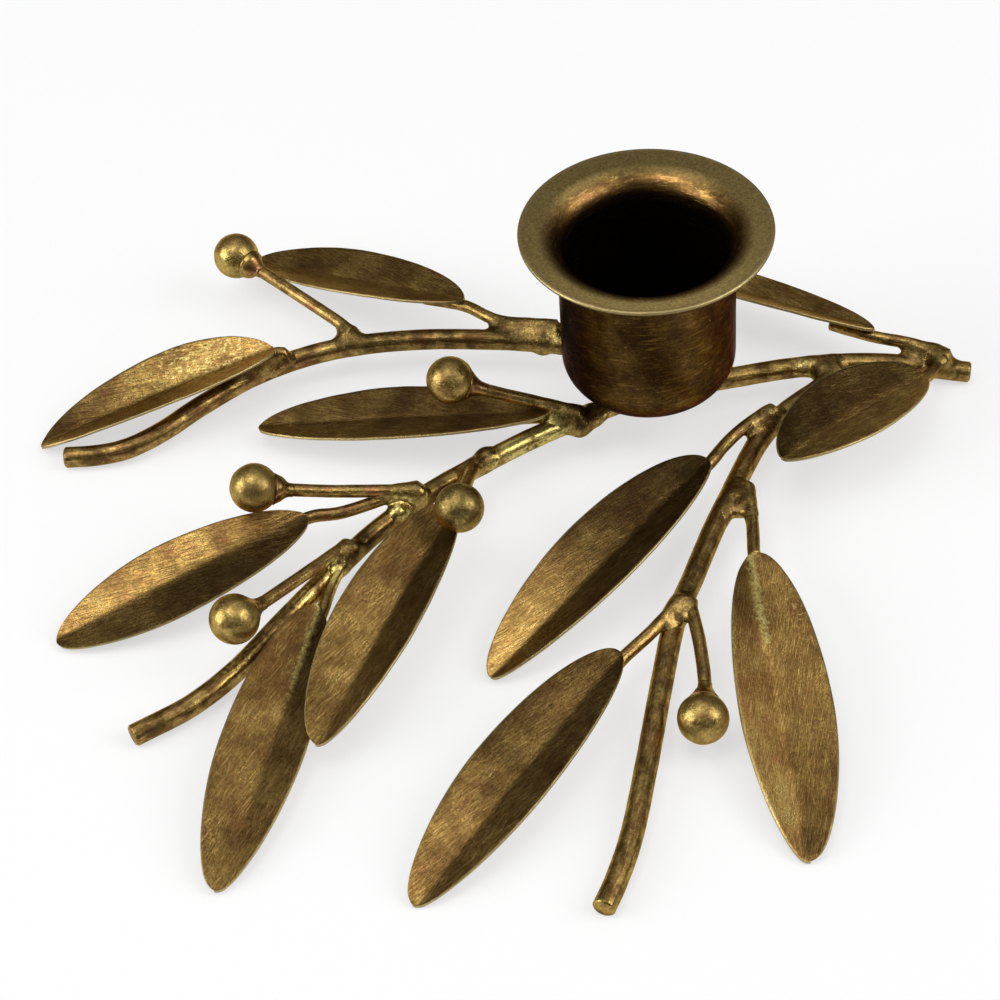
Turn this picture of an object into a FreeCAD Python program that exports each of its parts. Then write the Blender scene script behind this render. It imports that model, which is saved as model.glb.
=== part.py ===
import FreeCAD, Part
import math
import os

# Olive branch candle holder in antique brass, in millimetres.
# The branch frame used while modelling has the cup's axis at x = 0, y = 0 and the table at z = 0;
# +X runs to the right, +Y to the back, +Z up. Every solid is moved at the end, so that the
# origin is the bottom centre of the whole object.

Vec = FreeCAD.Vector
UP = Vec(0, 0, 1)

# Candle cup
cup_bore_radius = 11.5
cup_wall = 0.7
cup_height = 26.5
cup_corner_radius = 5.0
cup_base_height = 7.0
rim_radius = 17.0
rim_slope_deg = 16.0
rim_bend_radius = 2.4

# Rods, wires, berries and sheet
rod_radius = 1.5
wire_radius = 0.9
berry_radius = 3.35
sheet_thickness = 0.5
valley_radius = 1.2
rod_end_rounding = 0.3
collar_length = 2.2
collar_radius = 1.7

# Leaf outline, as shares of the leaf's length or half width
usual_widest_share = 0.54
base_bluntness = 0.50
tip_bluntness = 0.50
base_flow = 0.55
tip_flow = 0.45

# Rod routes: centre lines from the free end to the joint
main_stem_route = [
    (-72.0, -56.0, 1.5), (-64.5, -51.8, 1.8), (-58.4, -46.5, 2.3), (-52.6, -39.5, 2.9),
    (-46.8, -32.7, 3.5), (-40.0, -25.2, 4.1), (-32.6, -19.0, 4.6), (-25.0, -14.2, 5.0),
    (-17.0, -9.7, 5.3), (-8.5, -5.8, 5.5), (0.5, -2.4, 5.5), (11.0, -0.4, 5.2),
    (19.5, 1.3, 4.7), (26.8, 2.3, 4.0), (33.2, 2.7, 3.1), (39.0, 2.4, 2.2), (46.0, 1.2, 1.5),
]
left_stem_route = [
    (-83.5, -2.7, 1.5), (-78.5, -2.9, 1.7), (-74.2, -2.2, 2.0), (-69.5, 0.3, 2.4),
    (-64.0, 4.4, 3.0), (-57.0, 8.9, 3.6), (-49.5, 11.7, 4.2), (-42.0, 12.9, 4.7),
    (-33.0, 12.7, 5.2), (-24.0, 11.5, 5.5), (-14.5, 9.8, 5.5), (-5.5, 6.6, 5.5), (4.5, 2.2, 5.5),
]
front_stem_route = [
    (-13.5, -89.4, 1.5), (-11.4, -85.0, 1.8), (-9.0, -78.5, 2.3), (-6.3, -68.2, 3.1),
    (-3.2, -55.4, 4.0), (-0.6, -45.4, 4.5), (2.3, -38.6, 4.7), (6.0, -29.9, 5.0),
    (8.8, -24.0, 5.1), (11.6, -18.1, 5.1), (14.3, -13.0, 5.0), (18.1, -8.2, 4.9),
    (22.6, -4.3, 4.7), (27.0, -0.7, 4.4),
]

# Leaves: base is the foot of the fold, on the upper face; angles in degrees, heading from +X
# towards +Y, droop is tip down, roll lifts the left side; width is measured across the unfolded
# plan and vein is the fold's sideways offset
leaves = {
    "leaf_left_back": dict(base=(-25.5, 17.7, 8.0), heading=149, droop=9, roll=1.8, length=37,
                           width=10.3, fold=18.3, arch=0.12, vein=-0.1, widest_share=0.52),
    "leaf_left_end": dict(base=(-52.7, 9.8, 7.8), heading=194.6, droop=11.3, roll=2.3, length=36.4,
                          width=12.3, fold=27, arch=0.3, vein=-0.9, widest_share=0.40),
    "leaf_middle_back": dict(base=(-14.8, -7.7, 8.0), heading=170, droop=7.5, roll=-1.8,
                             length=42.1, width=10.6, fold=17.9, arch=0.12, vein=-0.5),
    "leaf_middle_left": dict(base=(-48.4, -24.8, 8.0), heading=201, droop=10.9, roll=-15.6,
                             length=37.6, width=11.3, fold=10.4, arch=0.6, vein=-0.6),
    "leaf_middle_right": dict(base=(-29.1, -23.9, 7.6), heading=243.7, droop=4, roll=1.1,
                              length=43.0, width=11.4, fold=23, arch=0.9, vein=0.6),
    "leaf_middle_end": dict(base=(-47.7, -38.4, 5.0), heading=252.9, droop=5, roll=-5.9,
                            length=45.6, width=11.1, fold=14, arch=0.9, vein=0.8),
    "leaf_front_left": dict(base=(6.3, -19.0, 8.0), heading=224.4, droop=8.8, roll=-0.9,
                            length=44.8, width=11.4, fold=27.5, arch=0.3, vein=0.1,
                            widest_share=0.49),
    "leaf_front_right": dict(base=(11.0, -36.2, 6.6), heading=271.8, droop=6.9, roll=-5,
                             length=48.1, width=12.1, fold=18.8, arch=0.2, vein=-0.8),
    "leaf_front_end": dict(base=(-8.4, -51.9, 6.6), heading=230.3, droop=7.5, roll=-6.1,
                           length=44.7, width=10.7, fold=19.3, arch=1.1, vein=0.6),
    "leaf_right_front": dict(base=(38.3, -3.2, 6.2), heading=219.7, droop=-7, roll=-4.9,
                             length=29.1, width=12.2, fold=21.9, arch=0.2, vein=0.2),
    "leaf_right_back": dict(base=(32.9, 6.6, 6.2), heading=148, droop=3, roll=15, length=44.8,
                            width=8.7, fold=20, arch=0.12, vein=-0.3),
}

# Leaf wires: each lies under its leaf's fold, then runs through these points to the stem
wire_reach_under_leaf = 7.0
wire_seat = 0.06
leaf_wire_routes = {
    "leaf_left_back": [(-20.4, 13.3, 7.1), (-12.5, 11.3, 7.2)],
    "leaf_left_end": [(-50.6, 10.5, 5.9)],
    "leaf_middle_back": [(-10.4, -7.6, 6.6)],
    "leaf_middle_left": [(-43.5, -23.0, 6.7), (-35.9, -20.0, 6.6), (-33.6, -18.9, 6.3)],
    "leaf_middle_right": [(-26.7, -17.0, 6.2)],
    "leaf_middle_end": [(-45.6, -33.8, 4.0), (-43.3, -28.9, 4.5)],
    "leaf_front_left": [(8.7, -16.0, 6.8), (11.1, -13.3, 6.9), (13.8, -10.9, 6.9), (16.3, -9.1, 6.6)],
    "leaf_front_right": [(11.5, -29.8, 5.6), (11.3, -25.2, 6.0), (10.6, -21.6, 6.3)],
    "leaf_front_end": [(-4.5, -49.0, 5.8), (-1.5, -45.8, 6.2), (0.4, -43.6, 6.4)],
    "leaf_right_front": [(41.4, 0.6, 4.0)],
    "leaf_right_back": [(38.0, 4.7, 4.6), (42.6, 2.4, 4.0)],
}

# Berries: the ball's centre, then the wire's route to the joint on the stem
berry_routes = {
    "berry_left": [(-58.7, 31.2, 8.0), (-53.0, 25.7, 7.4), (-44.3, 16.6, 6.8), (-42.3, 14.4, 6.3)],
    "berry_middle_back": [(-28.0, -5.0, 13.0), (-23.2, -5.7, 11.3), (-17.4, -6.3, 9.4),
                          (-12.4, -7.0, 7.9), (-10.9, -7.4, 7.3)],
    "berry_middle_left": [(-55.2, -23.0, 12.5), (-51.0, -22.6, 11.3), (-43.9, -21.6, 9.3),
                          (-36.5, -20.4, 7.5), (-33.9, -19.8, 6.8)],
    "berry_middle_right": [(-27.8, -29.4, 12.2), (-27.2, -24.6, 10.3), (-25.8, -16.6, 6.9)],
    "berry_middle_end": [(-57.9, -44.6, 10.0), (-54.6, -41.2, 8.9), (-44.8, -29.9, 6.0),
                         (-43.4, -28.2, 5.6)],
    "berry_front": [(1.3, -63.3, 5.2), (2.0, -58.6, 5.8), (2.1, -53.9, 6.2), (1.9, -49.4, 6.5),
                    (1.4, -44.6, 6.6)],
}
berry_hole_depth = 1.2

# Solder beads on each stem: centre and radius of overlapping drops
beads = {
    "left_stem_solder": [
        ((-41.7, 13.6, 5.7), 2.1), ((-39.6, 12.9, 5.1), 1.9), ((-22.4, 12.2, 6.0), 1.9),
        ((-19.0, 11.6, 6.1), 1.9), ((-14.4, 10.4, 6.2), 2.1), ((-51.9, 10.4, 4.8), 1.9),
    ],
    "main_stem_solder": [
        ((-9.9, -8.0, 5.6), 2.4), ((-7.0, -5.8, 5.2), 1.9), ((-14.0, -9.0, 5.2), 1.9),
        ((-25.2, -14.9, 5.2), 2.3), ((-27.6, -16.4, 4.8), 2.0), ((-33.4, -19.4, 5.2), 2.2),
        ((-35.6, -21.8, 4.7), 1.9), ((-43.4, -29.2, 4.8), 2.1), ((-41.4, -27.0, 4.4), 1.8),
    ],
    "front_stem_solder": [
        ((0.6, -43.0, 5.5), 2.1), ((-0.6, -45.4, 4.9), 1.9), ((9.6, -22.6, 5.6), 2.1),
        ((8.6, -25.2, 5.0), 1.9), ((16.0, -9.8, 5.6), 2.1), ((14.4, -12.4, 5.2), 1.9),
        ((26.0, -0.7, 4.3), 2.0), ((23.6, -3.0, 4.5), 1.8),
    ],
    "right_end_solder": [((39.6, 2.6, 3.2), 2.1), ((41.8, 2.2, 3.1), 2.1)],
}
pool_top_radius = 6.0
pool_foot_radius = 4.4
pool_depth = 2.0
pool_centre_y = -0.6

# Clearances and limits used by the solid operations
leaf_prism_reach = 30.0
least_piece_volume = 0.4
drop_turn = FreeCAD.Rotation(35, 50, 20)


def point(x, y, z=0.0):
    return Vec(x, y, z)


def as_points(route):
    return [Vec(*place) for place in route]


def arc_path(route):
    """Straight runs joined by tangent arcs along a list of points."""
    points = as_points(route)
    edges = []
    start = points[0]
    for before, corner, after in zip(points, points[1:], points[2:]):
        inward = (corner - before).normalize()
        outward = (after - corner).normalize()
        turn = inward.getAngle(outward)
        run = min((corner - before).Length, (after - corner).Length)
        reach = 0.45 * run
        first = corner - inward * reach
        last = corner + outward * reach
        radius = reach / math.tan(turn / 2)
        middle_line = (outward - inward).normalize()
        middle = corner + middle_line * (radius / math.cos(turn / 2) - radius)
        edges.append(Part.LineSegment(start, first).toShape())
        edges.append(Part.Arc(first, middle, last).toShape())
        start = last
    edges.append(Part.LineSegment(start, points[-1]).toShape())
    return Part.Wire(edges)


def round_bar(route, radius):
    """A round bar along a route."""
    points = as_points(route)
    path = arc_path(route)
    ring = Part.Wire(Part.makeCircle(radius, points[0], points[1] - points[0]))
    return path.makePipeShell([ring], True, False)


def rounded_ends(bar, places):
    """Round off the sharp edge of a bar's free ends."""
    edges = [
        edge for edge in bar.Edges
        if isinstance(edge.Curve, Part.Circle)
        and any((edge.Curve.Center - Vec(*place)).Length < 0.01 for place in places)
    ]
    return bar.makeFillet(rod_end_rounding, edges)


def largest_solid(shape):
    return max(shape.Solids, key=lambda solid: solid.Volume)


def trimmed(shape, others):
    """Cut a shape back from the pieces that it meets, one after another."""
    for other in others:
        if shape.BoundBox.intersect(other.BoundBox):
            shape = shape.cut(other)
    return shape


def ball(centre, radius, seam_turn):
    """A sphere turned so that its seam and poles keep clear of the pieces that cut it."""
    sphere = Part.makeSphere(radius)
    sphere.Placement = FreeCAD.Placement(Vec(*centre), seam_turn)
    return sphere


def make_cup():
    """The spun cup: flat floor, rounded corner, straight wall and trumpet rim."""
    outer = cup_bore_radius + cup_wall
    slope = math.radians(rim_slope_deg)
    bend_x = cup_bore_radius + rim_bend_radius
    across = math.sin(slope)
    along = math.cos(slope)
    rim_run = rim_radius - (bend_x - rim_bend_radius * across)
    bend_z = cup_height - rim_run * math.tan(slope) - rim_bend_radius * along
    inner_corner = cup_corner_radius - cup_wall
    floor_radius = outer - cup_corner_radius
    middle_angle = (math.pi / 2 + slope + math.pi) / 2
    outer_bend = rim_bend_radius - cup_wall
    diagonal = math.sqrt(0.5)

    def on_bend(radius, angle):
        return point(bend_x + radius * math.cos(angle), 0, bend_z + radius * math.sin(angle))

    def on_corner(radius):
        return point(floor_radius + radius * diagonal, 0, cup_corner_radius - radius * diagonal)

    bend_end_angle = math.pi / 2 + slope
    lip_top = point(rim_radius, 0, cup_height)
    lip_foot = point(rim_radius + cup_wall * across, 0, cup_height - cup_wall * along)
    lip_nose = (lip_top + lip_foot) * 0.5 + point(along, 0, across) * (cup_wall / 2)
    profile = [
        Part.LineSegment(point(0, 0, cup_wall), point(floor_radius, 0, cup_wall)),
        Part.Arc(point(floor_radius, 0, cup_wall), on_corner(inner_corner),
                 point(cup_bore_radius, 0, cup_corner_radius)),
        Part.LineSegment(point(cup_bore_radius, 0, cup_corner_radius),
                         point(cup_bore_radius, 0, bend_z)),
        Part.Arc(point(cup_bore_radius, 0, bend_z), on_bend(rim_bend_radius, middle_angle),
                 on_bend(rim_bend_radius, bend_end_angle)),
        Part.LineSegment(on_bend(rim_bend_radius, bend_end_angle), lip_top),
        Part.Arc(lip_top, lip_nose, lip_foot),
        Part.LineSegment(lip_foot, on_bend(outer_bend, bend_end_angle)),
        Part.Arc(on_bend(outer_bend, bend_end_angle), on_bend(outer_bend, middle_angle),
                 point(outer, 0, bend_z)),
        Part.LineSegment(point(outer, 0, bend_z), point(outer, 0, cup_corner_radius)),
        Part.Arc(point(outer, 0, cup_corner_radius), on_corner(cup_corner_radius),
                 point(floor_radius, 0, 0)),
        Part.LineSegment(point(floor_radius, 0, 0), point(0, 0, 0)),
        Part.LineSegment(point(0, 0, 0), point(0, 0, cup_wall)),
    ]
    face = Part.Face(Part.Wire([curve.toShape() for curve in profile]))
    cup = face.revolve(point(0, 0), UP, 360)
    cup.translate(point(0, 0, cup_base_height))
    return cup


def leaf_outline(length, width, widest_share):
    """The lance-shaped outline, blunt at the base and rounded at the tip."""
    half = width / 2
    widest = widest_share * length
    rest = length - widest

    def side(sign):
        base_half = Part.BezierCurve()
        base_half.setPoles([
            point(0, 0), point(0, sign * base_bluntness * half),
            point(widest * (1 - base_flow), sign * half), point(widest, sign * half),
        ])
        tip_half = Part.BezierCurve()
        tip_half.setPoles([
            point(widest, sign * half), point(widest + tip_flow * rest, sign * half),
            point(length, sign * tip_bluntness * half), point(length, 0),
        ])
        return [base_half.toShape(), tip_half.toShape()]

    left = side(1)
    right = side(-1)
    return Part.Face(Part.Wire([left[0], left[1], right[1], right[0]]))


def valley_profile(width, fold_deg, x, lift):
    """The folded sheet's cross-section: two flat halves and a rounded valley."""
    fold = math.radians(fold_deg)
    reach = width
    inner = valley_radius
    outer = valley_radius + sheet_thickness

    def on_valley(radius, sign):
        return point(x, sign * radius * math.sin(fold), lift + inner - radius * math.cos(fold))

    def edge_point(radius, sign):
        run = reach - radius * math.sin(fold)
        return on_valley(radius, sign) + point(0, sign * run, run * math.tan(fold))

    top = [
        Part.LineSegment(edge_point(inner, -1), on_valley(inner, -1)),
        Part.Arc(on_valley(inner, -1), point(x, 0, lift), on_valley(inner, 1)),
        Part.LineSegment(on_valley(inner, 1), edge_point(inner, 1)),
    ]
    bottom = [
        Part.LineSegment(edge_point(inner, 1), edge_point(outer, 1)),
        Part.LineSegment(edge_point(outer, 1), on_valley(outer, 1)),
        Part.Arc(on_valley(outer, 1), point(x, 0, lift - sheet_thickness), on_valley(outer, -1)),
        Part.LineSegment(on_valley(outer, -1), edge_point(outer, -1)),
        Part.LineSegment(edge_point(outer, -1), edge_point(inner, -1)),
    ]
    return Part.Face(Part.Wire([curve.toShape() for curve in top + bottom]))


def leaf_placement(base, heading, droop, roll):
    return FreeCAD.Placement(Vec(*base), FreeCAD.Rotation(heading, droop, roll))


def make_leaf(base, heading, droop, roll, length, width, fold, arch, vein,
              widest_share=usual_widest_share):
    """A folded sheet, bowed along its length and trimmed to the leaf's outline."""
    bow_radius = length ** 2 / (8 * arch) + arch / 2
    hinge = point(length / 2, 0, arch - bow_radius)
    spread = math.degrees(0.6 * length / bow_radius)
    section = valley_profile(width, fold, length / 2, arch)
    section.rotate(hinge, Vec(0, 1, 0), -spread)
    sheet = section.revolve(hinge, Vec(0, 1, 0), 2 * spread)
    sheet.translate(point(0, vein))
    prism = leaf_outline(length, width, widest_share).extrude(UP * leaf_prism_reach)
    prism.translate(UP * (-leaf_prism_reach / 2))
    leaf = largest_solid(sheet.common(prism))
    leaf.Placement = leaf_placement(base, heading, droop, roll)
    return leaf


def under_fold(sizes, distance):
    """Where the wire's centre line lies, at a distance from the leaf's base."""
    share = distance / sizes["length"]
    rise = 4 * sizes["arch"] * share * (1 - share)
    drop = sheet_thickness + wire_radius - wire_seat
    place = leaf_placement(sizes["base"], sizes["heading"], sizes["droop"], sizes["roll"])
    return place.multVec(Vec(distance, sizes["vein"], rise - drop))


def leaf_wire_route(name):
    sizes = leaves[name]
    return [under_fold(sizes, wire_reach_under_leaf), under_fold(sizes, 0)] + leaf_wire_routes[name]


def berry_wire_route(route):
    """The wire starts in a short blind hole in the ball."""
    centre = Vec(*route[0])
    away = (Vec(*route[1]) - centre).normalize()
    return [centre + away * (berry_radius - berry_hole_depth)] + route[1:]


def make_berry(route):
    """The ball, with the sphere's seam on the side away from the wire."""
    away = Vec(*route[1]) - Vec(*route[0])
    return ball(route[0], berry_radius, FreeCAD.Rotation(Vec(1, 0, 0), away * -1))


def make_collar(route):
    """The cone of solder where a berry's wire enters the ball."""
    centre = Vec(*route[0])
    away = (Vec(*route[1]) - centre).normalize()
    foot = centre + away * (berry_radius * 0.8)
    return Part.makeCone(collar_radius, wire_radius + 0.15, collar_length, foot, away)


def make_beads(drops, others):
    """Touching drops of solder, each cut back from the metal that it holds."""
    kept = []
    for centre, radius in drops:
        drop = ball(centre, radius, drop_turn)
        rest = trimmed(drop, others + kept)
        kept += [solid for solid in rest.Solids if solid.Volume > least_piece_volume]
    return Part.makeCompound(kept)


def make_pool(others):
    """The solder pool between the cup's floor and the rods that carry it."""
    pool = Part.makeCone(pool_foot_radius, pool_top_radius, pool_depth,
                         point(0, pool_centre_y, cup_base_height - pool_depth))
    kept = trimmed(pool, others)
    return Part.makeCompound([solid for solid in kept.Solids if solid.Volume > least_piece_volume])


def build_nodes():
    nodes = {"candle_cup": make_cup()}

    nodes["main_stem"] = rounded_ends(
        round_bar(main_stem_route, rod_radius), [main_stem_route[0], main_stem_route[-1]])
    left_stem = rounded_ends(round_bar(left_stem_route, rod_radius), [left_stem_route[0]])
    nodes["left_stem"] = largest_solid(left_stem.cut(nodes["main_stem"]))
    front_stem = rounded_ends(round_bar(front_stem_route, rod_radius), [front_stem_route[0]])
    nodes["front_stem"] = largest_solid(front_stem.cut(nodes["main_stem"]))

    for name, sizes in leaves.items():
        nodes[name] = make_leaf(**sizes)

    wires = {}
    for name in leaves:
        wires[name + "_wire"] = round_bar(leaf_wire_route(name), wire_radius)
    for name, route in berry_routes.items():
        wires[name + "_wire"] = round_bar(berry_wire_route(route), wire_radius)
        nodes[name] = make_berry(route)
    for name, wire in wires.items():
        blockers = [shape for node, shape in nodes.items() if not node.startswith("berry")
                    or node.endswith("_wire")]
        nodes[name] = largest_solid(trimmed(wire, blockers))
    for name in berry_routes:
        nodes[name] = largest_solid(nodes[name].cut(nodes[name + "_wire"]))

    metal = list(nodes.values())
    for name, drops in beads.items():
        nodes[name] = make_beads(drops, metal)
    nodes["cup_solder"] = make_pool(metal + [nodes["main_stem_solder"]])
    collars = [largest_solid(trimmed(make_collar(route), metal)) for route in berry_routes.values()]
    nodes["berry_collars"] = Part.makeCompound(collars)
    return nodes


def main():
    os.makedirs("parts", exist_ok=True)
    nodes = build_nodes()
    box = Part.makeCompound(list(nodes.values())).optimalBoundingBox(False, False)
    to_origin = Vec(-box.Center.x, -box.Center.y, -box.ZMin)
    for name, shape in nodes.items():
        shape.translate(to_origin)
        shape.exportStep("parts/" + name + ".step")
    print("nodes:", len(nodes))
    print("size mm: %.1f x %.1f x %.1f" % (box.XLength, box.YLength, box.ZLength))
    print("cup axis at x %.3f, y %.3f" % (to_origin.x, to_origin.y))


main()
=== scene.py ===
import bpy
import numpy as np
from math import cos, pi, radians, sin, tan
from mathutils import Matrix, Vector
from numpy.linalg import norm


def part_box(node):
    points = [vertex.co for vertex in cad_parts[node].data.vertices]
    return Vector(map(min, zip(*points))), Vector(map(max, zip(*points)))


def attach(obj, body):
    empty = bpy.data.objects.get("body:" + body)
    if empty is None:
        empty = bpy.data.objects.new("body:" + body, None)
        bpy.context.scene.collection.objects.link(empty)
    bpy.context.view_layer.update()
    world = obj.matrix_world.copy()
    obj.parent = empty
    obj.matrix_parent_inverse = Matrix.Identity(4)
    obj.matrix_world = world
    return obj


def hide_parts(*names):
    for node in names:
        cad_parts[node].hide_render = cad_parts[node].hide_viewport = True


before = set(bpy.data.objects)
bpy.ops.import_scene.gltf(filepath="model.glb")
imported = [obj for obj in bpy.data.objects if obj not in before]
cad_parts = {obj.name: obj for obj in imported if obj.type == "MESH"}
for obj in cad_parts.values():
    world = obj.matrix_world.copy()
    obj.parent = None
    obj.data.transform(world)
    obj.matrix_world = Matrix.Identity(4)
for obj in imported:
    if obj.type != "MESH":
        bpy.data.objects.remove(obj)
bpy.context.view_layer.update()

# An olive branch of antique brass with a candle cup. Sizes are in millimetres, with the cup's axis
# at x = 0, y = 0 and the table at z = 0, +X to the right and +Y to the back. add_piece moves every
# point to the frame of the solids.
MM = 0.001
cup_low, cup_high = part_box("candle_cup")
cup_axis = np.array([(cup_low.x + cup_high.x) / 2, (cup_low.y + cup_high.y) / 2, 0.0])

# The cup, a spun bowl of thin sheet with a flared rim
bore_radius = 11.5
cup_wall = 0.7
cup_height = 26.5
cup_corner = 5.0
cup_foot = 7.0
rim_radius = 17.0
rim_slope = radians(16.0)
rim_bend_radius = 2.4
lip_trim = 0.015
centre_radius = 0.3
cup_steps = 160

# The bars, with the distance between their rings, the depth of their dents and their rounded ends
rod = dict(radius=1.5, step=0.6, sides=28, dent=0.02, rounding=0.22)
wire = dict(radius=0.9, step=0.5, sides=18, dent=0.03, rounding=0.15)
dent_wavelength = 3.0
fine_wavelength = 2.2
end_trim = 0.05

# The leaves, folded from sheet; each of leaf_waves is a height, a length and a seed
sheet_thickness = 0.5
valley_radius = 1.2
wire_reach = 7.0
wire_seat = 0.06
leaf_trim = 0.06
least_half_width = 0.02
leaf_rows = 72
leaf_columns = 73
column_crowding = 1.25
edge_round = 0.12
edge_start = 0.93
rib_half_width = 0.75
leaf_waves = ((0.05, 14.0, 0), (0.02, 4.0, 50))
usual_widest = 0.54
base_bluntness = 0.50
tip_bluntness = 0.50
base_flow = 0.55
tip_flow = 0.45

# The berries, balls with a collar of solder round the wire
berry_radius = 3.35
berry_rings = 48
berry_steps = 72
berry_dent = 0.03
pole_angle = 0.02
collar_start = 0.80 * berry_radius
collar_length = 2.6
collar_flare = 1.15
collar_rings = 14
collar_steps = 36

# The solder: a thin skin that creeps along the metal, thinner with distance, and drops on it
skin_thickness = 0.07
skin_thinning = 0.24
skin_margin = 1.5
drop_blend = 1.2
wire_end_cover = 0.04
stem_end_bare = 0.1
solder_foot = 0.05
solder_ripple = 0.03
rod_route_step = 0.8
wire_route_step = 0.6
joint_step = 0.18
pool_step = 0.22
least_share = 0.02

# The centre line of each stem, from its free end
stems = {
    "main_stem": [
        (-72, -56, 1.5), (-64.5, -51.8, 1.8), (-58.4, -46.5, 2.3), (-52.6, -39.5, 2.9),
        (-46.8, -32.7, 3.5), (-40, -25.2, 4.1), (-32.6, -19, 4.6), (-25, -14.2, 5),
        (-17, -9.7, 5.3), (-8.5, -5.8, 5.5), (0.5, -2.4, 5.5), (11, -0.4, 5.2),
        (19.5, 1.3, 4.7), (26.8, 2.3, 4), (33.2, 2.7, 3.1), (39, 2.4, 2.2), (46, 1.2, 1.5),
    ],
    "left_stem": [
        (-83.5, -2.7, 1.5), (-78.5, -2.9, 1.7), (-74.2, -2.2, 2), (-69.5, 0.3, 2.4),
        (-64, 4.4, 3), (-57, 8.9, 3.6), (-49.5, 11.7, 4.2), (-42, 12.9, 4.7),
        (-33, 12.7, 5.2), (-24, 11.5, 5.5), (-14.5, 9.8, 5.5), (-5.5, 6.6, 5.5),
        (4.5, 2.2, 5.5),
    ],
    "front_stem": [
        (-13.5, -89.4, 1.5), (-11.4, -85, 1.8), (-9, -78.5, 2.3), (-6.3, -68.2, 3.1),
        (-3.2, -55.4, 4), (-0.6, -45.4, 4.5), (2.3, -38.6, 4.7), (6, -29.9, 5),
        (8.8, -24, 5.1), (11.6, -18.1, 5.1), (14.3, -13, 5), (18.1, -8.2, 4.9),
        (22.6, -4.3, 4.7), (27, -0.7, 4.4),
    ],
}

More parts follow.
